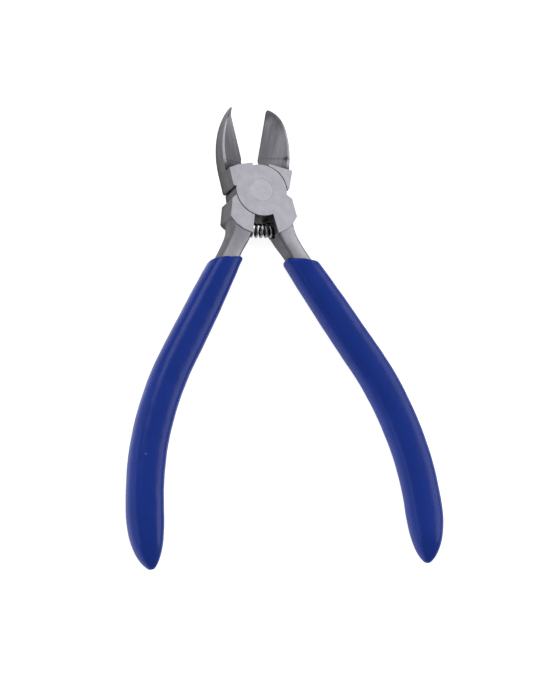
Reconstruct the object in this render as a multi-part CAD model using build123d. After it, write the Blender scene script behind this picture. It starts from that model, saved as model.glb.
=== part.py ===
from build123d import *
import math
import os

# Sprue nippers, about 153 mm (6 in) long when closed: two forged levers crossed in a lap joint,
# a flush rivet, a return spring between the handles and two dipped vinyl grips.
#
# Frame: origin on the pivot axis at the back face, +Z out of the front face, +Y towards the jaws.
# Each lever is drawn closed, with its jaw on -X and its handle on +X, and is then turned open.
# The front lever keeps that side. The back lever is its mirror image, with its lap disc behind,
# except that the handles' middle line leans a little to +X of the line that the jaws close on.

# ---------------------------------------------------------------- driving dimensions (mm, degrees)
THICKNESS = 10.0            # joint, back face to front face
HALF_OPEN = 11.6            # how far each lever is turned from closed where the spring holds it
HANDLE_LEAN = 3.5           # from the jaws' closing line to the handles' middle line
MID_Z = THICKNESS / 2       # plane where the two lap discs meet

# lap joint
DISC_RADIUS = 8.2
DISC_GAP = 0.15             # radial gap round a lap disc
LAP_GAP = 0.02              # gap between the two lap faces
RIVET_RADIUS = 2.5
RIVET_HEAD_RADIUS = 3.6
RIVET_HEAD_DEPTH = 1.1      # depth of the countersink at each face
RIVET_CLEARANCE = 0.04      # radial, in the lever that turns on the rivet

# jaw
JAW_HALF_WIDTH = 8.7
JAW_BASE_Y = 9.0            # front edge of the joint face, where the blade starts
JAW_SHOULDER_Y = 2.4        # lower end of the jaw's shoulder
JAW_ARC_WIDTH = 17.7        # the blade's outer side is an ellipse with these half-axes
JAW_ARC_HEIGHT = 24.5
JAW_CORNER_DROP = 0.6       # ground off the outer corner of the front lever's joint face
JAW_CORNER_LENGTH = 3.0
JAW_INNER_X = 0.9           # inner end of the joint face's front edge
RIM_HEIGHT = 6.5            # height of the blade's outer rim
RIM_WIDTH = 0.85
EDGE_HEIGHT = 0.3           # land of the flush cutting edge
EDGE_GAP = 0.03             # each cutting edge stops this far short of the centre line
HOLLOW = 0.25               # depth of the hollow grind
RIM_FALL_Y = 22.0           # from here the rim falls in an arc to the tip
RIM_FALL_MIDDLE = (27.0, 5.4)
TIP_HEIGHT = 1.6
RELIEF_Y = 13.1             # behind here the cutting edges stand clear of each other
RELIEF_DEPTH = 0.5

# handle
BLOCK_INNER_X = 1.4         # the handles' flat inner faces
BLOCK_OUTER_X = 9.0
BLOCK_HEEL_Y = -11.0        # below here the block's back slopes forwards
BLOCK_HEEL_HEIGHT = 2.2     # how far it has come forwards at the block's lower end
BLOCK_END_Y = -14.2
HANDLE_ANGLE = 19.3         # of the straight stretch, from -Y
DIP_Y = -23.0               # the handle's centre line where the grip starts
DIP_X = 7.35
STRAIGHT_LENGTH = 36.7      # straight centre line below the dip line
BOW_RADIUS = 100.0          # bowed centre line below that
BOW_ANGLE = 38.1
TANG_EDGE = 1.0             # rounding of the tang's edges
TANG_CROWN = 1.2            # how far the outer side bulges
# sections of the tang from inside its block to the dip line: length below the dip line, width,
# thickness, bulge of the front and back, shift outwards, and how far the flat inner side leans
# outwards from front to back
TANG_SECTIONS = [
    (-13.0, 9.3, 9.9, 0.05, 1.0, 0.4),
    (-11.0, 7.5, 9.7, 0.10, 1.1, 0.7),
    (-8.5, 6.8, 9.0, 0.20, 0.45, 0.8),
    (-5.0, 6.3, 8.0, 0.40, 0.25, 0.6),
    (0.0, 6.45, 7.4, 0.50, 0.12, 0.6),
]

# grip
GRIP_THICKNESS = 9.5
GRIP_WIDTH_TOP = 8.8
GRIP_WIDTH = 11.2
GRIP_SWELL_LENGTH = 16.0    # the width grows over about this length
GRIP_CORNER = 4.0
GRIP_WALL = 1.1             # round the tang's sides; in front and behind it is 1.05
GRIP_LIP = 0.9              # rounding of the upper rim
DIP_LINE_Y = -21.2          # level of the vinyl bath on the middle line, the tool hanging open
DIP_LINE_TILT = 2.3         # slope of that level across the tool
TAPER_LENGTH = 17.0         # of the rounded end, seen from the front
TAPER_LENGTH_SIDE = 12.0    # the same, seen from the side
TAPER_POWER = 0.60          # 0.5 would be an ellipse, more is more pointed
CORE_SHORTFALL = 7.0        # from the end of the steel to the end of the grip
GRIP_STEPS = 10             # sections along the grip's even stretch
CORE_STEPS = 12             # sections along the steel inside it

# return spring
SPRING_RADIUS = 2.3         # outside
WIRE_RADIUS = 0.3
SPRING_PITCH = 1.35
SPRING_HALF_LENGTH = 5.2
SEAT_Y = -11.9
SEAT_RADIUS = 2.6
SEAT_DEPTH = 2.2

GRIP_LENGTH = STRAIGHT_LENGTH + BOW_RADIUS * math.radians(BOW_ANGLE)
BEYOND = 1.0                # how far a cutting shape reaches past the surface it cuts


# ---------------------------------------------------------------- helpers
def prism(points, low, high):
    """A straight-sided solid over a closed outline of corner points, from z = low to z = high."""
    return extrude(Plane.XY.offset(low) * make_face(Polyline(*points, close=True)), high - low)


def disc(radius, low, high):
    """A flat cylinder on the pivot axis, from z = low to z = high."""
    return extrude(Plane.XY.offset(low) * Circle(radius), high - low)


def turned(shape, angle):
    """A shape turned about the pivot axis."""
    return Rot(0, 0, angle) * shape


def centre_line(length):
    """The handle's centre line: the plane across it at a length below the dip line.

    Local X points outwards across the handle, local Y points to the front face.
    """
    lean = math.radians(HANDLE_ANGLE)
    run = min(length, STRAIGHT_LENGTH)
    x = DIP_X + run * math.sin(lean)
    y = DIP_Y - run * math.cos(lean)
    if length > STRAIGHT_LENGTH:
        bowed = lean - (length - STRAIGHT_LENGTH) / BOW_RADIUS
        x += BOW_RADIUS * (math.cos(bowed) - math.cos(lean))
        y += BOW_RADIUS * (math.sin(bowed) - math.sin(lean))
        lean = bowed
    return Plane(
        origin=(x, y, MID_Z),
        x_dir=(math.cos(lean), math.sin(lean), 0),
        z_dir=(math.sin(lean), -math.cos(lean), 0),
    )


def taper(length, taper_length):
    """Share of the full size left at a length below the dip line: a pointed oval at the end."""
    into = max(0.0, length - (GRIP_LENGTH - taper_length)) / taper_length
    return max(0.0, 1 - into * into) ** TAPER_POWER


def grip_width(length):
    swell = (GRIP_WIDTH - GRIP_WIDTH_TOP) * math.exp(-max(0.0, length) / GRIP_SWELL_LENGTH)
    return (GRIP_WIDTH - swell) * taper(length, TAPER_LENGTH)


def grip_thickness(length):
    return GRIP_THICKNESS * taper(length, TAPER_LENGTH_SIDE)


# ---------------------------------------------------------------- jaw
def jaw_outer_x(y):
    """Outer side of the blade at a height y (negative: the jaw lies on -X)."""
    rise = (y - JAW_BASE_Y) / JAW_ARC_HEIGHT
    return JAW_ARC_WIDTH * (1 - math.sqrt(1 - rise * rise)) - JAW_HALF_WIDTH


def jaw_tip_y():
    """Where the outer side reaches the cutting edge."""
    across = (JAW_ARC_WIDTH - JAW_HALF_WIDTH + EDGE_GAP) / JAW_ARC_WIDTH
    return JAW_BASE_Y + JAW_ARC_HEIGHT * math.sqrt(1 - across * across)


def bevel_section(y):
    """What the grinding wheel takes away at one height: a hollow slope from the rim to the edge."""
    reach = (y - JAW_BASE_Y) / (jaw_tip_y() - JAW_BASE_Y)
    rim_x = jaw_outer_x(y) + RIM_WIDTH * math.sqrt(1 - reach)
    rim = Vector(rim_x, RIM_HEIGHT)
    edge = Vector(-EDGE_GAP, EDGE_HEIGHT)
    slope = edge - rim
    hollow = Vector(slope.Y, -slope.X).normalized() * HOLLOW * (1 - reach)
    outline = Line(edge, (BEYOND, EDGE_HEIGHT))
    outline += Line((BEYOND, EDGE_HEIGHT), (BEYOND, RIM_HEIGHT + BEYOND))
    outline += Line((BEYOND, RIM_HEIGHT + BEYOND), (rim_x, RIM_HEIGHT + BEYOND))
    outline += Line((rim_x, RIM_HEIGHT + BEYOND), rim)
    outline += ThreePointArc(rim, (rim + edge) / 2 + hollow, edge)
    across = Plane(origin=(0, y, 0), x_dir=(1, 0, 0), z_dir=(0, -1, 0))
    return across * make_face(outline)


def blade():
    """The jaw beyond the joint: flat and flush behind, hollow-ground in front."""
    oval = Pos(JAW_ARC_WIDTH - JAW_HALF_WIDTH, JAW_BASE_Y) * Ellipse(JAW_ARC_WIDTH, JAW_ARC_HEIGHT)
    corner = (Align.MAX, Align.MIN)
    half = Pos(-EDGE_GAP, JAW_BASE_Y) * Rectangle(2 * JAW_HALF_WIDTH, JAW_ARC_HEIGHT, align=corner)
    body = extrude(oval & half, RIM_HEIGHT)
    root = Pos(-EDGE_GAP, JAW_BASE_Y) * Rectangle(
        JAW_HALF_WIDTH - EDGE_GAP, JAW_CORNER_DROP, align=(Align.MAX, Align.MAX)
    )
    body += extrude(root, RIM_HEIGHT)

    span = jaw_tip_y() - JAW_BASE_Y
    stations = [JAW_BASE_Y + span * share for share in (0, 0.25, 0.5, 0.72, 0.87, 0.96, 0.995)]
    body -= loft([bevel_section(y) for y in stations])

    start = (RIM_FALL_Y, RIM_HEIGHT)
    end = (jaw_tip_y(), TIP_HEIGHT)
    past_tip = (jaw_tip_y() + BEYOND, TIP_HEIGHT)
    above_tip = (jaw_tip_y() + BEYOND, RIM_HEIGHT + BEYOND)
    above_start = (RIM_FALL_Y, RIM_HEIGHT + BEYOND)
    fall = ThreePointArc(start, RIM_FALL_MIDDLE, end)
    fall += Polyline(end, past_tip, above_tip, above_start, start)
    side = Plane(origin=(-JAW_HALF_WIDTH, 0, 0), x_dir=(0, 1, 0), z_dir=(1, 0, 0))
    body -= extrude(side * make_face(fall), JAW_HALF_WIDTH + BEYOND)

    relief = [
        (BEYOND, RELIEF_Y),
        (-EDGE_GAP, RELIEF_Y),
        (-RELIEF_DEPTH, RELIEF_Y - 1.5 * RELIEF_DEPTH),
        (-RELIEF_DEPTH, JAW_BASE_Y - BEYOND),
        (BEYOND, JAW_BASE_Y - BEYOND),
    ]
    return body - prism(relief, -BEYOND, RIM_HEIGHT + BEYOND)


def jaw_shoulder(corner_drop):
    """The full-thickness root of the jaw, reaching in over the lap disc."""
    outline = [
        (-JAW_INNER_X, JAW_BASE_Y),
        (-JAW_HALF_WIDTH + JAW_CORNER_LENGTH, JAW_BASE_Y),
        (-JAW_HALF_WIDTH, JAW_BASE_Y - corner_drop),
        (-JAW_HALF_WIDTH, JAW_SHOULDER_Y + 0.5),
        (-JAW_HALF_WIDTH + 0.3, JAW_SHOULDER_Y),
        (-DISC_RADIUS + 1.2, JAW_SHOULDER_Y),
        (-DISC_RADIUS / 2, 0),
        (-JAW_INNER_X, DISC_RADIUS / 2),
    ]
    return prism(outline, 0, THICKNESS)


# ---------------------------------------------------------------- handle
def handle_block():
    """The full-thickness root of the handle, with a V-shaped lower end and a sloping heel."""
    outline = [
        (BLOCK_INNER_X, -DISC_RADIUS / 2),
        (BLOCK_INNER_X, BLOCK_END_Y),
        (4.3, -13.6),
        (6.8, -12.4),
        (BLOCK_OUTER_X - 0.1, -10.4),
        (BLOCK_OUTER_X, -4.5),
        (7.8, -3.1),
        (DISC_RADIUS / 2, -1.7),
    ]
    heel = Polyline(
        (BLOCK_HEEL_Y, 0),
        (BLOCK_END_Y, BLOCK_HEEL_HEIGHT),
        (BLOCK_END_Y - BEYOND, BLOCK_HEEL_HEIGHT),
        (BLOCK_END_Y - BEYOND, -BEYOND),
        (BLOCK_HEEL_Y, -BEYOND),
        close=True,
    )
    side = Plane(origin=(0, 0, 0), x_dir=(0, 1, 0), z_dir=(1, 0, 0))
    return prism(outline, 0, THICKNESS) - extrude(side * make_face(heel), BLOCK_OUTER_X + BEYOND)


def bar_section(length, width, thickness, face_crown, shift, draft):
    """One section of the steel handle: flat inside, crowned elsewhere, with soft edges."""
    half = width / 2
    outer = half - TANG_CROWN
    top = thickness / 2
    corner = top - face_crown
    middle = (outer - half) / 2
    inner_back = (draft - half, -corner)
    outline = ThreePointArc((outer, -corner), (middle + draft / 2, -top), inner_back)
    outline += Line(inner_back, (-half, corner))
    outline += ThreePointArc((-half, corner), (middle, top), (outer, corner))
    outline += ThreePointArc((outer, corner), (half, 0), (outer, -corner))
    section = make_face(outline)
    section = fillet(section.vertices(), TANG_EDGE)
    return centre_line(length) * Pos(shift, 0) * section


def handle_bar():
    """The steel handle from inside its block to its blind end in the grip."""
    sections = [bar_section(*section) for section in TANG_SECTIONS]
    _, _, thickness_at_dip, face_crown, _, draft = TANG_SECTIONS[-1]
    core_length = GRIP_LENGTH - CORE_SHORTFALL
    for step in range(1, CORE_STEPS + 1):
        length = core_length * step / CORE_STEPS
        width = grip_width(length) - 2 * GRIP_WALL
        thickness = grip_thickness(length) - (GRIP_THICKNESS - thickness_at_dip)
        sections.append(bar_section(length, width, thickness, face_crown, 0, draft))
    bar = loft(sections)
    inner_side = Box(20, 20, 2 * THICKNESS, align=(Align.MAX, Align.MIN, Align.CENTER))
    return bar - Pos(BLOCK_INNER_X, -20, MID_Z) * inner_side


# ---------------------------------------------------------------- pieces
def rivet_shape(extra):
    """The rivet with its two countersunk heads, grown by a radial allowance."""
    profile = [
        (0, 0),
        (RIVET_HEAD_RADIUS + extra, 0),
        (RIVET_RADIUS + extra, RIVET_HEAD_DEPTH),
        (RIVET_RADIUS + extra, THICKNESS - RIVET_HEAD_DEPTH),
        (RIVET_HEAD_RADIUS + extra, THICKNESS),
        (0, THICKNESS),
    ]
    return revolve(Plane.XZ * make_face(Polyline(*profile, close=True)), Axis.Z)


def spring_seat():
    """The blind hole in a handle's inner face that holds one end of the spring."""
    mouth = Plane(origin=(BLOCK_INNER_X - BEYOND, SEAT_Y, MID_Z), z_dir=(1, 0, 0))
    return extrude(mouth * Circle(SEAT_RADIUS), SEAT_DEPTH + BEYOND)


def lever(disc_in_front, rivet_allowance, lean):
    """One whole forged lever, closed, with its jaw on -X and its handle on +X."""
    near, far = MID_Z + LAP_GAP / 2, THICKNESS
    recess_low, recess_high = -BEYOND, MID_Z + LAP_GAP / 2
    corner_drop = JAW_CORNER_DROP
    if not disc_in_front:
        near, far = 0, MID_Z - LAP_GAP / 2
        recess_low, recess_high = MID_Z - LAP_GAP / 2, THICKNESS + BEYOND
        corner_drop = 0
    body = jaw_shoulder(corner_drop) + blade() + turned(handle_block() + handle_bar(), lean)
    body -= disc(DISC_RADIUS + DISC_GAP, recess_low, recess_high)
    body += disc(DISC_RADIUS, near, far)
    body -= rivet_shape(rivet_allowance)
    body -= turned(spring_seat(), lean)
    return body


def grip_section(length):
    width = grip_width(length)
    thickness = grip_thickness(length)
    corner = GRIP_CORNER * min(width / GRIP_WIDTH, thickness / GRIP_THICKNESS)
    return centre_line(length) * RectangleRounded(width, thickness, corner)


def sleeve():
    """The outer shape of a dipped grip, closed and on +X, reaching past the dip line."""
    even_length = GRIP_LENGTH - TAPER_LENGTH
    stations = [even_length * step / GRIP_STEPS for step in range(-1, GRIP_STEPS + 1)]
    stations += [even_length + TAPER_LENGTH * share for share in (0.35, 0.6, 0.8, 0.92, 0.985)]
    return loft([grip_section(length) for length in stations])


def grip(outside, handle):
    """A grip cut off at the level of the bath, its rim rounded, with the steel taken out of it."""
    above = Box(80, 40, 2 * THICKNESS, align=(Align.CENTER, Align.MIN, Align.CENTER))
    body = outside - Pos(0, DIP_LINE_Y, MID_Z) * Rot(0, 0, DIP_LINE_TILT) * above
    rim = body.faces().sort_by(Axis.Y)[-1]
    body = fillet(rim.edges(), GRIP_LIP)
    return body - handle


def return_spring():
    """A straight compression coil between the middles of the two seats, across the handles."""
    seat_x = BLOCK_INNER_X + SEAT_DEPTH / 2
    open_angle = math.radians(HALF_OPEN)
    axis_y = seat_x * math.sin(open_angle) + SEAT_Y * math.cos(open_angle)
    start_x = -SPRING_HALF_LENGTH + WIRE_RADIUS
    coil = Helix(
        pitch=SPRING_PITCH,
        height=-2 * start_x,
        radius=SPRING_RADIUS - WIRE_RADIUS,
        center=(start_x, axis_y, MID_Z),
        direction=(1, 0, 0),
    )
    wire = sweep(Plane(coil ^ 0) * Circle(WIRE_RADIUS), path=coil, is_frenet=True)
    return turned(wire, HANDLE_LEAN)


front_open = HALF_OPEN
back_open = -HALF_OPEN
front_lever = lever(disc_in_front=True, rivet_allowance=RIVET_CLEARANCE, lean=HANDLE_LEAN)
back_lever = mirror(lever(disc_in_front=False, rivet_allowance=0, lean=-HANDLE_LEAN), Plane.YZ)
right_handle = turned(handle_bar(), front_open + HANDLE_LEAN)
right_outside = turned(sleeve(), front_open + HANDLE_LEAN)
left_handle = turned(mirror(handle_bar(), Plane.YZ), back_open + HANDLE_LEAN)
left_outside = turned(mirror(sleeve(), Plane.YZ), back_open + HANDLE_LEAN)

pieces = {
    "front_lever": turned(front_lever, front_open),
    "back_lever": turned(back_lever, back_open),
    "pivot_rivet": rivet_shape(0),
    "return_spring": return_spring(),
    "right_grip": grip(right_outside, right_handle),
    "left_grip": grip(left_outside, left_handle),
}

os.makedirs("parts", exist_ok=True)
for name, piece in pieces.items():
    export_step(piece, f"parts/{name}.step")
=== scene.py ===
import math

import bmesh
import bpy
from mathutils import Matrix, Vector


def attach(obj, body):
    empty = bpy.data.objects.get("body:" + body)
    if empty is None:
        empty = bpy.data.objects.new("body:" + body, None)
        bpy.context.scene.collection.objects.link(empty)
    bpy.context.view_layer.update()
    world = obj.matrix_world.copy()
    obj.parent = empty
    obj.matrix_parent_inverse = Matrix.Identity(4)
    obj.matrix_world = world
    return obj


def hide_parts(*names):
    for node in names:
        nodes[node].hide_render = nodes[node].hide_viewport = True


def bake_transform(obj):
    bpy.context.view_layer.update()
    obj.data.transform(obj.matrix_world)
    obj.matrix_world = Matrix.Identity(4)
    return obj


# Sprue nippers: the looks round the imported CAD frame. Lengths are millimetres until a mesh is made.
# The steel levers and the rivet keep their CAD meshes and get ground-steel materials.
# The dipped vinyl grips and the return spring are new meshes that stand for their CAD solids.

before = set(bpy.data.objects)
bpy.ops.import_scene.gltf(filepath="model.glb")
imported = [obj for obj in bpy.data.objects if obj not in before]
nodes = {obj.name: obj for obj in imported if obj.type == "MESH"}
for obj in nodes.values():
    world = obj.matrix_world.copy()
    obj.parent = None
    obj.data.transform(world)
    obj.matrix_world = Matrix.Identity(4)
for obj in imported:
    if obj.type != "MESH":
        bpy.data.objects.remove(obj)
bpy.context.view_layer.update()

MM = 0.001                  # one millimetre in metres

# ---------------------------------------------------------------- shapes shared with the frame
MID_Z = 5.0                 # middle plane of the tool
DISC_RADIUS = 8.2           # of the lap discs
HALF_OPEN = 11.6            # each lever's turn from closed, degrees
HANDLE_LEAN = 3.5           # lean of the handles' middle line, degrees

HANDLE_ANGLE = 19.3
DIP_X = 7.35
DIP_Y = -23.0
STRAIGHT_LENGTH = 36.7
BOW_RADIUS = 100.0
BOW_ANGLE = 38.1
GRIP_LENGTH = STRAIGHT_LENGTH + BOW_RADIUS * math.radians(BOW_ANGLE)

GRIP_THICKNESS = 9.5
GRIP_WIDTH_TOP = 8.8
GRIP_WIDTH = 11.2
GRIP_SWELL_LENGTH = 16.0
TAPER_LENGTH = 17.0
TAPER_LENGTH_SIDE = 12.0
TAPER_POWER = 0.60
DIP_LINE_Y = -21.2
DIP_LINE_TILT = 2.3

# ---------------------------------------------------------------- detail of the grips
SECTION_POWER = 2.75        # of the superellipse across a grip
GRIP_SIDES = 64
GRIP_RINGS = 150
RING_CROWDING = 1.25        # above 1 packs the rings towards the dip line
LIP_RADIUS = 0.95
LIP_RINGS = 7
LIP_INSET = 2.3             # how far the upper rim reaches in, under the steel's surface
RIM_RINGS = 3               # of the rim's flat top
DIP_WAVE = 0.10             # unevenness of the dip line
DIP_SEARCH = (-9.0, 12.0)   # lengths between which the skin crosses the dip line
DIP_SEARCH_STEPS = 40
SKIN_WAVE = 0.03            # slow unevenness of the dipped skin
LEFT_SEED = 0.4             # phase of the waves, so that no two grips are alike
RIGHT_SEED = 2.1
END_TRIM = 0.26             # from the pointed end of the centre line to the skin's blunt end
END_RINGS = 8               # of the rounded end, crowded towards its point
END_SHARE = 0.006           # share of the grip's length that these rings cover
SMALLEST_HALF = 0.02        # of a grip's section, so that no ring closes to a point
NIB_PLACE = (-39.4, -85.0, 9.6)    # a cured air bubble on the left grip's front
NIB_RADIUS = 0.5

# ---------------------------------------------------------------- detail of the spring
SEAT_Y = -11.9
SEAT_FLOOR_X = 3.6
WIRE_RADIUS = 0.35
COIL_RADIUS = 1.95
SPRING_PITCH = 1.50
END_COILS = 1.0             # closed turns at each end
CLOSED_PITCH = 2 * WIRE_RADIUS * 1.06
SPRING_START = 0.3          # where on its circle the wire starts, radians
WIRE_END_SHARE = 0.8        # size of the wire's two last sections, which are ground
WIRE_SIDES = 14
STEPS_PER_TURN = 40

# ---------------------------------------------------------------- painted shade on the jaws
FRONT_RUN_OUT_Y = 12.0      # where the grinding wheel left each bevel, the jaw closed
BACK_RUN_OUT_Y = 14.0
CORNER_SHADE_X = 7.2                # from the cutting line to the painted shade at the rim's corner
CORNER_SHADE_RADII = (1.4, 0.3)     # the corner shade's unshaded and full limits, counted along and across the line
LINE_HALF_WIDTHS = (0.5, 0.0)
FRONT_PAINTED_SHADE = 0.0           # how dark the painted shade at the rim's corner and in the seam round the other disc is
BACK_PAINTED_SHADE = 0.8

# ---------------------------------------------------------------- painted shade in recesses and crevices, with some oily dirt in tight seams
# reach in millimetres, and the shares of open sky at which a crevice is still unshaded and is fully
# shaded
RECESS_CREVICE = (6.0, 0.90, 0.40)
SEAM_CREVICE = (2.0, 0.92, 0.66)
TIGHT_CREVICE = (1.0, 0.75, 0.30)
COIL_CREVICE = (4.5, 0.82, 0.45)

# ---------------------------------------------------------------- tones of the metal, linear greys
FACE_TONES = (0.595, 0.670)         # the ground joint faces and the rim of the jaws
SIDE_TONES = (0.096, 0.132)         # dull forged sides
BLADE_TONES = (0.190, 0.305)        # streaked bevels
# painted shade on the tangs: their sides in the darker tone, their fronts in the lighter one
TANG_SHADED_SIDE_TONES = (0.165, 0.215)     # the tangs' sides, darkened as painted shade
TANG_LIT_FRONT_TONES = (0.42, 0.48)
RIVET_TONES = (0.64, 0.72)
WIRE_TONES = (0.38, 0.48)
WORN_EDGE = 0.55
RIVET_RIM = 0.35
# painted shade in the seam round the other lever's disc
SEAM_SHADE_TONE = 0.05
# painted shade inside the coil
COIL_SHADE_TONE = 0.035
# painted shade along the bevel's root and at the rim's corner
BEVEL_ROOT_SHADE_TONE = 0.03
# painted shade in recesses and crevices, with some oily dirt in the tightest seams
CREVICE_SHADE_AND_DIRT = 0.014
STEEL_METALLIC = 0.85

# ---------------------------------------------------------------- the vinyl
VINYL_DEEP = (0.0095, 0.0385, 0.285, 1)
VINYL_LIGHT = (0.0115, 0.0425, 0.320, 1)
VINYL_SPECK = (0.05, 0.09, 0.40, 1)
VINYL_NIB = (0.16, 0.24, 0.55, 1)
VINYL_IOR = 1.52
VINYL_SPECULAR = 0.19

# ---------------------------------------------------------------- zones of a lever, millimetres
FACE_DEPTHS = (4.88, 4.96)          # from the middle plane, where a side gives way to a face
JAW_HEIGHTS = (8.5, 10.5)           # the joint gives way to the jaw
TANG_HEIGHTS = (-8.0, -11.5)        # and to the tang
JOINT_SHADE_HEIGHTS = (-14.0, -11.0)
SEAM_SHADE_HEIGHTS = (-8.5, -6.5)
RING_HEIGHTS = (7.5, 6.0)           # the painted seam shade fades away towards the jaws
RING_DEPTHS = (9.0, 9.8)            # and shows on the front only
RING_HALF_WIDTHS = (0.45, 0.15)
RIVET_RIM_RADII = (3.35, 3.6)
WORN_RADIUS = 0.22                  # of the rounding that finds the worn edges

# ---------------------------------------------------------------- paper floor and studio
PAPER_TONES = (0.86, 0.88)
PAPER_GLOW = 0.84           # light of the paper itself, as the picture shows it
PAPER_GLOW_DIM = 0.45       # its light as it falls on the tool
PAPER_DROP = 0.05           # from the tool's back to the paper
PAPER_SIDES = 96
PAPER_RADII = (20, 50, 100, 200, 400, 800, 1400)
WALL_COLOUR = (0.96, 0.97, 1.0, 1)
WALL_STRENGTH = 0.30
# lamp, direction from the tool, distance, width and height in metres, power in watts and tint
SOFTBOXES = [
    ("right_softbox", (0.80, 0.18, 0.60), 0.85, 0.75, 0.55, 3.0, (1.0, 0.985, 1.0)),
    ("top_softbox", (-0.31, 0.62, 0.73), 0.95, 0.30, 0.55, 1.6, (0.97, 0.96, 1.0)),
    ("left_fill", (-0.93, 0.12, 0.33), 1.2, 1.4, 0.8, 3.6, (0.96, 0.98, 1.0)),
]

# ---------------------------------------------------------------- camera
VIEW_AZIMUTH = 20.86
VIEW_TILT = 15.68
VIEW_ROLL = -2.16
VIEW_DISTANCE = 956.87
VIEW_TARGET = (4.336, -47.334, 5.0)
LENS = 164.87
SENSOR_WIDTH = 36.0
CLIP_DISTANCES = (0.01, 20.0)       # metres


# ---------------------------------------------------------------- small helpers
def mesh_object(name, vertices, faces):
    """A smooth-shaded object from points in millimetres."""
    mesh = bpy.data.meshes.new(name)
    mesh.from_pydata([Vector(v) * MM for v in vertices], [], faces)
    mesh.validate()
    made = bmesh.new()
    made.from_mesh(mesh)
    bmesh.ops.recalc_face_normals(made, faces=made.faces)
    made.to_mesh(mesh)
    made.free()
    mesh.polygons.foreach_set("use_smooth", [True] * len(mesh.polygons))
    thing = bpy.data.objects.new(name, mesh)
    bpy.context.scene.collection.objects.link(thing)
    return thing


def tube_faces(rings, sides, first=0):
    """Quads between rings of vertices, each ring closed on itself."""
    faces = []
    for ring in range(rings - 1):
        for side in range(sides):
            a = first + ring * sides + side
            b = first + ring * sides + (side + 1) % sides
            faces.append((a, b, b + sides, a + sides))
    return faces


# ---------------------------------------------------------------- grips
def centre_line(length):
    """Point and outward direction of a closed right handle's centre line, below the dip line."""
    lean = math.radians(HANDLE_ANGLE)
    run = min(length, STRAIGHT_LENGTH)
    x = DIP_X + run * math.sin(lean)
    y = DIP_Y - run * math.cos(lean)
    if length > STRAIGHT_LENGTH:
        turned = lean - (length - STRAIGHT_LENGTH) / BOW_RADIUS
        x += BOW_RADIUS * (math.cos(turned) - math.cos(lean))
        y += BOW_RADIUS * (math.sin(turned) - math.sin(lean))
        lean = turned
    return Vector((x, y, MID_Z)), Vector((math.cos(lean), math.sin(lean), 0))


def taper(length, taper_length):
    """Share of the full size left at a length below the dip line: a pointed oval at the end."""
    into = max(0.0, length - (GRIP_LENGTH - taper_length)) / taper_length
    return max(0.0, 1 - into * into) ** TAPER_POWER


def grip_half_sizes(length):
    """Half the width and half the thickness of a grip at a length below the dip line."""
    swell = (GRIP_WIDTH - GRIP_WIDTH_TOP) * math.exp(-max(0.0, length) / GRIP_SWELL_LENGTH)
    width = (GRIP_WIDTH - swell) * taper(length, TAPER_LENGTH)
    thickness = GRIP_THICKNESS * taper(length, TAPER_LENGTH_SIDE)
    return width / 2, thickness / 2


def skin_wave(length, turn, seed):
    """Slow hollows where the wet vinyl ran: a few sines that never line up, all inwards."""
    wave = math.sin(length * 0.21 + seed) * math.cos(turn + seed)
    wave += 0.6 * math.sin(length * 0.47 + 2 * turn + 1.7 * seed)
    wave += 0.4 * math.sin(length * 0.95 - turn + 2.3 * seed)
    return SKIN_WAVE * (wave - 2)


def grip_point(length, turn, side, seed, inset=0.0):
    """A point of the closed right-hand skin, turned to the rest pose. The side is +1 right, -1 left."""
    centre, outward = centre_line(length)
    half_width, half_thickness = grip_half_sizes(length)
    across, up = math.cos(turn), math.sin(turn)
    swell = skin_wave(length, turn, seed) * min(1.0, half_width / 3)
    a = max(SMALLEST_HALF, half_width - inset + swell)
    b = max(SMALLEST_HALF, half_thickness - inset + swell)
    reach = (abs(across) ** SECTION_POWER + abs(up) ** SECTION_POWER) ** (-1 / SECTION_POWER)
    point = centre + outward * (a * across * reach) + Vector((0, 0, b * up * reach))
    point.x *= side
    angle = math.radians(side * HALF_OPEN + HANDLE_LEAN)
    return Matrix.Rotation(angle, 3, "Z") @ point


def dip_level(x, seed):
    """The height of the dip line at a place across the tool."""
    wave = math.sin(0.9 * x + seed) + 0.5 * math.sin(2.1 * x + 2 * seed)
    return DIP_LINE_Y + math.tan(math.radians(DIP_LINE_TILT)) * x + DIP_WAVE * wave


def dip_length(turn, side, seed):
    """How far along the centre line one side of the skin reaches the dip line."""
    low, high = DIP_SEARCH
    for _ in range(DIP_SEARCH_STEPS):
        middle = (low + high) / 2
        point = grip_point(middle, turn, side, seed)
        if point.y > dip_level(point.x, seed):
            low = middle
        else:
            high = middle
    return (low + high) / 2


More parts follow.
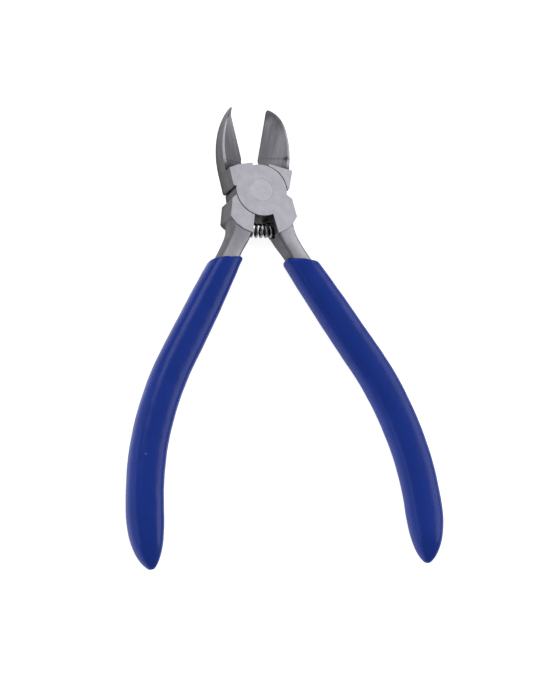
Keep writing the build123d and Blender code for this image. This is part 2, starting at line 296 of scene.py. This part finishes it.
def make_grip(name, side, seed):
    """One dipped sleeve in the rest pose, closed at the rim and at the rounded end."""
    turns = [2 * math.pi * step / GRIP_SIDES for step in range(GRIP_SIDES)]
    starts = [dip_length(turn, side, seed) for turn in turns]
    vertices = []

    # the rim turns in over the steel: a flat top, then a quarter-round lip
    for step in range(RIM_RINGS):
        inset = LIP_INSET + (LIP_RADIUS - LIP_INSET) * step / RIM_RINGS
        for turn, start in zip(turns, starts):
            vertices.append(grip_point(start, turn, side, seed, inset))
    for step in range(LIP_RINGS + 1):
        bend = math.pi / 2 * step / LIP_RINGS
        inset = LIP_RADIUS * (1 - math.sin(bend))
        drop = LIP_RADIUS * (1 - math.cos(bend))
        for turn, start in zip(turns, starts):
            vertices.append(grip_point(start + drop, turn, side, seed, inset))

    # the skin down to the rounded end
    for ring in range(1, GRIP_RINGS):
        share = (ring / GRIP_RINGS) ** RING_CROWDING
        for turn, start in zip(turns, starts):
            first = start + LIP_RADIUS
            vertices.append(grip_point(first + (GRIP_LENGTH - first) * share, turn, side, seed))
    for step in range(1, END_RINGS + 1):
        left = END_TRIM + (GRIP_LENGTH - starts[0]) * END_SHARE * (1 - step / END_RINGS) ** 2
        for turn in turns:
            vertices.append(grip_point(GRIP_LENGTH - left, turn, side, seed))

    rings = len(vertices) // GRIP_SIDES
    faces = tube_faces(rings, GRIP_SIDES)
    last = (rings - 1) * GRIP_SIDES
    faces.append(tuple(range(GRIP_SIDES)))
    faces.append(tuple(last + step for step in range(GRIP_SIDES)))
    return mesh_object(name, vertices, faces)


# ---------------------------------------------------------------- spring
def spring_axis():
    """Height of the ends and radius of the arc between the two seats' floors, the lean taken off."""
    open_angle = math.radians(HALF_OPEN)
    end_x = SEAT_FLOOR_X * math.cos(open_angle) - SEAT_Y * math.sin(open_angle)
    end_y = SEAT_FLOOR_X * math.sin(open_angle) + SEAT_Y * math.cos(open_angle)
    return end_y, end_x / math.sin(open_angle)


def make_spring(name):
    """A compression coil bowed between the seats, its end turns closed and ground flat."""
    end_y, radius = spring_axis()
    half_angle = math.radians(HALF_OPEN)
    arc_length = 2 * radius * half_angle - 2 * WIRE_RADIUS
    open_length = arc_length - 2 * END_COILS * CLOSED_PITCH
    open_turns = open_length / SPRING_PITCH
    turns = open_turns + 2 * END_COILS
    steps = int(turns * STEPS_PER_TURN)
    centre_y = end_y + radius * math.cos(half_angle)

    def wire_centre(turn_count):
        if turn_count < END_COILS:
            along = CLOSED_PITCH * turn_count
        elif turn_count < END_COILS + open_turns:
            along = CLOSED_PITCH * END_COILS + SPRING_PITCH * (turn_count - END_COILS)
        else:
            along = arc_length - CLOSED_PITCH * (turns - turn_count)
        bend = (along - arc_length / 2) / radius
        axis = Vector((radius * math.sin(bend), centre_y - radius * math.cos(bend), MID_Z))
        radial = Vector((-math.sin(bend), math.cos(bend), 0))
        phase = 2 * math.pi * turn_count + SPRING_START
        return axis + COIL_RADIUS * (radial * math.cos(phase) + Vector((0, 0, 1)) * math.sin(phase))

    centres = [wire_centre(turns * step / steps) for step in range(steps + 1)]
    vertices = []
    side_hint = Vector((1, 0, 0))
    for step, centre in enumerate(centres):
        before = centres[max(0, step - 1)]
        after = centres[min(steps, step + 1)]
        forward = (after - before).normalized()
        across = (side_hint - forward * side_hint.dot(forward)).normalized()
        over = forward.cross(across)
        thin = 1.0 if 0 < step < steps else WIRE_END_SHARE
        for side in range(WIRE_SIDES):
            turn = 2 * math.pi * side / WIRE_SIDES
            offset = across * math.cos(turn) + over * math.sin(turn)
            vertices.append(centre + offset * WIRE_RADIUS * thin)
    lean = Matrix.Rotation(math.radians(HANDLE_LEAN), 3, "Z")
    vertices = [lean @ v for v in vertices]
    faces = tube_faces(len(centres), WIRE_SIDES)
    last = (len(centres) - 1) * WIRE_SIDES
    faces.append(tuple(range(WIRE_SIDES)))
    faces.append(tuple(last + side for side in range(WIRE_SIDES)))
    return mesh_object(name, vertices, faces)


# ---------------------------------------------------------------- material nodes
class Nodes:
    """Short names for building a shader tree."""

    def __init__(self, name):
        self.material = bpy.data.materials.new(name)
        self.material.use_nodes = True
        self.tree = self.material.node_tree
        self.tree.nodes.clear()
        output = self.tree.nodes.new("ShaderNodeOutputMaterial")
        self.shader = self.tree.nodes.new("ShaderNodeBsdfPrincipled")
        self.tree.links.new(self.shader.outputs["BSDF"], output.inputs["Surface"])
        self.place = self.tree.nodes.new("ShaderNodeTexCoord")

    def put(self, target, value):
        """Link a socket to an input, or set the input to a plain value."""
        if isinstance(value, bpy.types.NodeSocket):
            self.tree.links.new(value, target)
        else:
            target.default_value = value

    def node(self, kind, **values):
        """A node with some of its settings changed."""
        made = self.tree.nodes.new(kind)
        for key, value in values.items():
            setattr(made, key, value)
        return made

    def math(self, operation, a, b=0.0):
        """One sum of two values, or of one."""
        made = self.node("ShaderNodeMath", operation=operation)
        self.put(made.inputs[0], a)
        self.put(made.inputs[1], b)
        return made.outputs[0]

    def range(self, value, low, high, to_low=0.0, to_high=1.0, smooth=True):
        """The value carried from one pair of limits to another, and held at their ends."""
        kind = "SMOOTHSTEP" if smooth else "LINEAR"
        made = self.node("ShaderNodeMapRange", interpolation_type=kind)
        for key, given in zip((0, 1, 2, 3, 4), (value, low, high, to_low, to_high)):
            self.put(made.inputs[key], given)
        return made.outputs[0]

    def span(self, value, limits, to_low=0.0, to_high=1.0):
        """The same for a length, with the limits in millimetres."""
        return self.range(value, limits[0] * MM, limits[1] * MM, to_low, to_high)

    def mix(self, share, a, b):
        """The first colour where the share is 0, the second where it is 1."""
        made = self.node("ShaderNodeMix", data_type="RGBA")
        self.put(made.inputs[0], share)
        self.put(made.inputs[6], a)
        self.put(made.inputs[7], b)
        return made.outputs[2]

    def tones(self, share, pair):
        """A grey between the two of a pair."""
        return self.mix(share, grey(pair[0]), grey(pair[1]))

    def mapped(self, scale=(1, 1, 1), turn=0.0):
        """Object coordinates turned about Z by some degrees and then scaled, per metre."""
        spun = self.node("ShaderNodeMapping")
        self.put(spun.inputs["Vector"], self.place.outputs["Object"])
        spun.inputs["Rotation"].default_value = (0, 0, math.radians(turn))
        sized = self.node("ShaderNodeMapping")
        self.put(sized.inputs["Vector"], spun.outputs[0])
        sized.inputs["Scale"].default_value = scale
        return sized.outputs[0]

    def radius(self, x, y):
        """Distance from the Z axis."""
        return self.math("SQRT", self.math("ADD", self.math("POWER", x, 2), self.math("POWER", y, 2)))

    def noise(self, vector, scale, detail, rough):
        """Soft noise from 0 to 1, its scale per metre."""
        made = self.node("ShaderNodeTexNoise")
        self.put(made.inputs["Vector"], vector)
        made.inputs["Scale"].default_value = scale
        made.inputs["Detail"].default_value = detail
        made.inputs["Roughness"].default_value = rough
        return made.outputs["Fac"]

    def split(self, vector):
        """The X, Y and Z of a vector."""
        made = self.node("ShaderNodeSeparateXYZ")
        self.put(made.inputs[0], vector)
        return made.outputs

    def mottle(self):
        """The slow clouding of ground steel."""
        return self.range(self.noise(self.mapped(), 420, 4, 0.6), 0.3, 0.7)

    def bump(self, height, strength, distance, normal=None):
        """A relief of a height map, as deep as the distance in millimetres."""
        made = self.node("ShaderNodeBump")
        self.put(made.inputs["Height"], height)
        made.inputs["Strength"].default_value = strength
        made.inputs["Distance"].default_value = distance * MM
        if normal is not None:
            self.put(made.inputs["Normal"], normal)
        return made.outputs[0]

    def worn_edges(self, radius):
        """1 on sharp edges and 0 on faces, and the normal of the rounded edges that tells them apart."""
        rounded = self.node("ShaderNodeBevel", samples=6)
        rounded.inputs["Radius"].default_value = radius * MM
        plain = self.node("ShaderNodeNewGeometry")
        dot = self.node("ShaderNodeVectorMath", operation="DOT_PRODUCT")
        self.put(dot.inputs[0], rounded.outputs[0])
        self.put(dot.inputs[1], plain.outputs["Normal"])
        return self.range(dot.outputs["Value"], 0.995, 0.90), rounded.outputs[0]

    def crevice(self, reach, clean, full):
        """0 where the share of open sky within reach is at least clean, 1 where it is at most full."""
        made = self.node("ShaderNodeAmbientOcclusion", samples=8)
        made.inputs["Distance"].default_value = reach * MM
        return self.range(made.outputs["AO"], clean, full)

    def finish(self, base, metallic, rough, normal):
        """The material, once its colour, metal, roughness and relief are known."""
        self.put(self.shader.inputs["Base Color"], base)
        self.shader.inputs["Metallic"].default_value = metallic
        self.put(self.shader.inputs["Roughness"], rough)
        self.put(self.shader.inputs["Normal"], normal)
        return self.material


def grey(value):
    """A linear grey, a little towards violet-blue."""
    return (value * 0.985, value * 0.970, value * 1.045, 1)


# ---------------------------------------------------------------- materials
def lever_tone(n, facing, mottle, streaks, broad):
    """The clean steel: side, bevel, tang and ground face, each in its own zone of the lever; the tang
    with painted shade on its sides.
    """
    _, height, depth = n.split(n.place.outputs["Object"])
    from_middle = n.math("ABSOLUTE", n.math("SUBTRACT", depth, MID_Z * MM))
    face = n.math("MULTIPLY", n.span(from_middle, FACE_DEPTHS), n.range(facing, 0.84, 0.985))
    jaw = n.span(height, JAW_HEIGHTS)
    tang = n.span(height, TANG_HEIGHTS)

    flat = n.tones(mottle, FACE_TONES)
    side = n.tones(mottle, SIDE_TONES)
    blade_tone = n.math("ADD", n.range(streaks, 0.3, 0.72, 0, 0.5), n.range(broad, 0.42, 0.7, 0, 0.5))
    blade = n.mix(n.range(facing, 0.25, 0.5), side, n.tones(blade_tone, BLADE_TONES))
    blade = n.mix(n.range(facing, 0.93, 0.985), blade, flat)
    # painted shade on the tang: lighter where it faces front or back, darker on its sides
    tang_shaded_side = n.tones(mottle, TANG_SHADED_SIDE_TONES)
    tang_lit_and_shaded = n.mix(n.range(facing, 0.70, 0.99), tang_shaded_side, n.tones(mottle, TANG_LIT_FRONT_TONES))
    base = n.mix(jaw, n.mix(tang, side, tang_lit_and_shaded), blade)
    return n.mix(face, base, flat), face, jaw, tang


def lever_shade_and_dirt(n):
    """Painted shade in the joint's recesses and seams and in every tight crevice, with some oily dirt in
    the tightest.
    """
    _, height, _ = n.split(n.place.outputs["Object"])
    recess = n.math("MULTIPLY", n.crevice(*RECESS_CREVICE), 0.80)
    seam = n.math("MULTIPLY", n.crevice(*SEAM_CREVICE), n.span(height, SEAM_SHADE_HEIGHTS, 0, 0.95))
    joint_shade = n.math("MULTIPLY", n.span(height, JOINT_SHADE_HEIGHTS), n.math("MAXIMUM", recess, seam))
    return n.math("MAXIMUM", joint_shade, n.math("MULTIPLY", n.crevice(*TIGHT_CREVICE), 0.9))


def bevel_root_shade(n, jaw_turn, run_out_y, painted_shade, broad):
    """Painted shade: a dark line along the bevel's root, where the grinding wheel ran out, and a dark
    spot at the rim's corner.
    """
    closed_x, closed_y, _ = n.split(n.mapped(turn=jaw_turn))
    off_line = n.math("ABSOLUTE", n.math("SUBTRACT", closed_y, run_out_y * MM))
    line = n.math("MULTIPLY", n.span(off_line, LINE_HALF_WIDTHS), n.range(broad, 0.3, 0.6, 0.05, 0.35))
    off_x = n.math("SUBTRACT", n.math("ABSOLUTE", closed_x), CORNER_SHADE_X * MM)
    off_corner = n.math("ADD", n.math("ABSOLUTE", off_x), off_line)
    return n.math("MAXIMUM", line, n.span(off_corner, CORNER_SHADE_RADII, 0, painted_shade))


def disc_seam(n):
    """Painted shade in the seam along the front edge of the other lever's disc, fading away near the
    jaws.
    """
    across, height, depth = n.split(n.place.outputs["Object"])
    off_seam = n.math("ABSOLUTE", n.math("SUBTRACT", n.radius(across, height), DISC_RADIUS * MM))
    ring = n.math("MULTIPLY", n.span(off_seam, RING_HALF_WIDTHS), n.span(height, RING_HEIGHTS))
    return n.math("MULTIPLY", ring, n.span(depth, RING_DEPTHS))


def lever_steel(name, jaw_turn, run_out_y, painted_shade):
    """Forged steel: ground pale and satin on the joint, dull on its sides, streaked on the bevel.

    The jaw turn takes the jaw back to closed. The grinding wheel ran out at the given height.
    The painted shade sets how dark the shade painted at the rim's corner and in the seam round the other
    lever's disc is.
    """
    n = Nodes(name)
    facing = n.math("ABSOLUTE", n.split(n.place.outputs["Normal"])[2])
    mottle = n.mottle()
    grain = n.noise(n.mapped(), 5200, 2, 0.5)
    streaks = n.noise(n.mapped((2300, 90, 700), jaw_turn), 1.0, 4, 0.6)
    broad = n.noise(n.mapped((420, 30, 160), jaw_turn), 1.0, 2, 0.5)

    base, face, jaw, tang = lever_tone(n, facing, mottle, streaks, broad)
    edges, rounded = n.worn_edges(WORN_RADIUS)
    base = n.mix(n.math("MULTIPLY", edges, 0.45), base, grey(WORN_EDGE))
    # painted shade in recesses and crevices, with some oily dirt in the tightest seams
    base = n.mix(lever_shade_and_dirt(n), base, grey(CREVICE_SHADE_AND_DIRT))
    # painted shade along the bevel's root and at the rim's corner, on up-facing surfaces only
    root_shade = n.math("MULTIPLY", jaw, bevel_root_shade(n, jaw_turn, run_out_y, painted_shade, broad))
    base = n.mix(n.math("MULTIPLY", root_shade, n.range(facing, 0.25, 0.6)), base, grey(BEVEL_ROOT_SHADE_TONE))
    # painted shade in the seam round the other lever's disc
    base = n.mix(n.math("MULTIPLY", disc_seam(n), painted_shade), base, grey(SEAM_SHADE_TONE))

    dull = n.math("MAXIMUM", face, tang)
    rough = n.math("ADD", n.range(dull, 0, 1, 0.42, 0.54), n.range(grain, 0.3, 0.7, -0.04, 0.04))
    relief = n.bump(grain, 0.12, 0.02, rounded)
    relief = n.bump(n.math("MULTIPLY", streaks, jaw), 0.2, 0.03, relief)
    return n.finish(base, STEEL_METALLIC, rough, relief)


def rivet_steel():
    """The rivet heads: ground flush with the joint, with faint rings left by the grinding."""
    n = Nodes("rivet_steel")
    x, y, _ = n.split(n.place.outputs["Object"])
    radius = n.radius(x, y)
    rings = n.math("SINE", n.math("MULTIPLY", radius, 9000))
    mottle = n.mottle()
    rim = n.math("MULTIPLY", n.span(radius, RIVET_RIM_RADII), 0.04)
    base = n.mix(rim, n.tones(mottle, RIVET_TONES), grey(RIVET_RIM))
    rough = n.range(mottle, 0, 1, 0.50, 0.58)
    return n.finish(base, STEEL_METALLIC, rough, n.bump(rings, 0.05, 0.01))


def spring_wire():
    """Bright drawn wire with faint drawing lines, and painted shade inside the coil."""
    n = Nodes("spring_wire")
    lines = n.range(n.noise(n.mapped(), 1500, 2, 0.5), 0.3, 0.7)
    # painted shade inside the coil, where the front turns hide the back ones
    inside_shade = n.math("MULTIPLY", n.crevice(*COIL_CREVICE), 0.90)
    base = n.mix(inside_shade, n.tones(lines, WIRE_TONES), grey(COIL_SHADE_TONE))
    return n.finish(base, 1.0, n.range(lines, 0, 1, 0.26, 0.34), n.bump(lines, 0.04, 0.01))


def vinyl(name, turn, nib=None):
    """Deep blue dipped vinyl: glossy, with a faint orange-peel skin and soft handling marks."""
    n = Nodes(name)
    cloud = n.noise(n.mapped(), 90, 3, 0.5)
    peel = n.noise(n.mapped((1, 0.45, 1), turn), 420, 3, 0.55)
    fine = n.noise(n.mapped(), 3400, 2, 0.5)
    specks = n.range(n.noise(n.mapped(), 1500, 1, 0.4), 0.80, 0.84)
    base = n.mix(n.range(cloud, 0.3, 0.7), VINYL_DEEP, VINYL_LIGHT)
    base = n.mix(n.math("MULTIPLY", specks, 0.25), base, VINYL_SPECK)
    relief = n.bump(peel, 0.20, 0.22)
    relief = n.bump(fine, 0.05, 0.03, relief)
    if nib is not None:
        away = n.node("ShaderNodeVectorMath", operation="DISTANCE")
        n.put(away.inputs[0], n.place.outputs["Object"])
        away.inputs[1].default_value = Vector(nib) * MM
        swell = n.span(away.outputs["Value"], (NIB_RADIUS, 0.0))
        base = n.mix(n.math("MULTIPLY", swell, 0.6), base, VINYL_NIB)
        relief = n.bump(swell, 0.8, 0.2, relief)
    marks = n.noise(n.mapped((1, 0.3, 1), turn), 160, 4, 0.6)
    n.shader.inputs["IOR"].default_value = VINYL_IOR
    n.shader.inputs["Specular IOR Level"].default_value = VINYL_SPECULAR
    return n.finish(base, 0.0, n.range(marks, 0.3, 0.75, 0.20, 0.32), relief)


def floor_paper():
    """Pale seamless paper that the lamps leave nearly white."""
    n = Nodes("floor_paper")
    fibre = n.noise(n.mapped(), 900, 3, 0.5)
    pale, paler = ((tone, tone, tone, 1) for tone in PAPER_TONES)
    n.put(n.shader.inputs["Base Color"], n.mix(fibre, pale, paler))
    n.shader.inputs["Roughness"].default_value = 0.9
    n.shader.inputs["Specular IOR Level"].default_value = 0.1
    n.shader.inputs["Emission Color"].default_value = (1, 1, 1, 1)
    seen = n.node("ShaderNodeLightPath").outputs["Is Camera Ray"]
    glow = n.range(seen, 0, 1, PAPER_GLOW_DIM, PAPER_GLOW, smooth=False)
    n.put(n.shader.inputs["Emission Strength"], glow)
    return n.material


def dress(thing, material):
    """Give a thing one material in place of those it has."""
    thing.data.materials.clear()
    thing.data.materials.append(material)


# ---------------------------------------------------------------- stage
def make_floor():
    """A paper disc under the tool, in rings that widen outwards."""
    centre_y = VIEW_TARGET[1]
    vertices = [(0, centre_y, -PAPER_DROP)]
    for radius in PAPER_RADII:
        for side in range(PAPER_SIDES):
            turn = 2 * math.pi * side / PAPER_SIDES
            vertices.append((radius * math.cos(turn), centre_y + radius * math.sin(turn), -PAPER_DROP))
    faces = [(0, 1 + side, 1 + (side + 1) % PAPER_SIDES) for side in range(PAPER_SIDES)]
    faces += tube_faces(len(PAPER_RADII), PAPER_SIDES, first=1)
    return mesh_object("paper_floor", vertices, faces)


def make_world():
    """Dim studio walls for the reflections, and a white surround in the picture."""
    world = bpy.data.worlds.new("studio")
    bpy.context.scene.world = world
    world.use_nodes = True
    tree = world.node_tree
    tree.nodes.clear()
    output = tree.nodes.new("ShaderNodeOutputWorld")
    walls = tree.nodes.new("ShaderNodeBackground")
    walls.inputs["Color"].default_value = WALL_COLOUR
    walls.inputs["Strength"].default_value = WALL_STRENGTH
    seen = tree.nodes.new("ShaderNodeBackground")
    seen.inputs["Color"].default_value = (1, 1, 1, 1)
    seen.inputs["Strength"].default_value = 1.0
    ray = tree.nodes.new("ShaderNodeLightPath")
    mix = tree.nodes.new("ShaderNodeMixShader")
    tree.links.new(ray.outputs["Is Camera Ray"], mix.inputs[0])
    tree.links.new(walls.outputs[0], mix.inputs[1])
    tree.links.new(seen.outputs[0], mix.inputs[2])
    tree.links.new(mix.outputs[0], output.inputs[0])


def softbox(name, direction, distance, width, height, power, tint):
    """A rectangular lamp that faces the tool from one direction."""
    light = bpy.data.lights.new(name, "AREA")
    light.shape = "RECTANGLE"
    light.size = width
    light.size_y = height
    light.energy = power
    light.color = tint
    lamp = bpy.data.objects.new(name, light)
    bpy.context.scene.collection.objects.link(lamp)
    aim = Vector(VIEW_TARGET) * MM
    toward = Vector(direction).normalized()
    lamp.location = aim + toward * distance
    lamp.rotation_euler = (-toward).to_track_quat("-Z", "Y").to_euler()


def make_camera():
    """A long lens that looks down on the tool, turned by its azimuth, tilt and roll."""
    azimuth, tilt, roll = (math.radians(a) for a in (VIEW_AZIMUTH, VIEW_TILT, VIEW_ROLL))
    back = Vector((
        -math.sin(azimuth) * math.cos(tilt),
        -math.sin(tilt),
        math.cos(azimuth) * math.cos(tilt),
    ))
    up = Vector((0, 1, 0))
    up = (up - back * up.dot(back)).normalized()
    right = up.cross(back)
    rolled_right = right * math.cos(roll) + up * math.sin(roll)
    rolled_up = up * math.cos(roll) - right * math.sin(roll)
    data = bpy.data.cameras.new("camera")
    data.lens = LENS
    data.sensor_width = SENSOR_WIDTH
    data.clip_start, data.clip_end = CLIP_DISTANCES
    camera = bpy.data.objects.new("camera", data)
    bpy.context.scene.collection.objects.link(camera)
    turn = Matrix((rolled_right, rolled_up, back)).transposed().to_4x4()
    turn.translation = Vector(VIEW_TARGET) * MM + back * VIEW_DISTANCE * MM
    camera.matrix_world = turn
    bpy.context.scene.camera = camera


# ---------------------------------------------------------------- build
left_grip = make_grip("left_dipped_grip", -1, LEFT_SEED)
right_grip = make_grip("right_dipped_grip", 1, RIGHT_SEED)
dress(left_grip, vinyl("left_vinyl", -(HALF_OPEN + HANDLE_ANGLE), NIB_PLACE))
dress(right_grip, vinyl("right_vinyl", HALF_OPEN + HANDLE_ANGLE))
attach(left_grip, "back_half")
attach(right_grip, "front_half")
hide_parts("left_grip")
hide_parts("right_grip")

spring = make_spring("coil_spring")
dress(spring, spring_wire())
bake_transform(spring)
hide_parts("return_spring")

front_steel = lever_steel("front_lever_steel", -HALF_OPEN, FRONT_RUN_OUT_Y, FRONT_PAINTED_SHADE)
back_steel = lever_steel("back_lever_steel", HALF_OPEN, BACK_RUN_OUT_Y, BACK_PAINTED_SHADE)
dress(nodes["front_lever"], front_steel)
dress(nodes["back_lever"], back_steel)
dress(nodes["pivot_rivet"], rivet_steel())

floor = make_floor()
dress(floor, floor_paper())

make_world()
for lamp in SOFTBOXES:
    softbox(*lamp)
make_camera()
bpy.context.scene.view_settings.view_transform = "Standard"
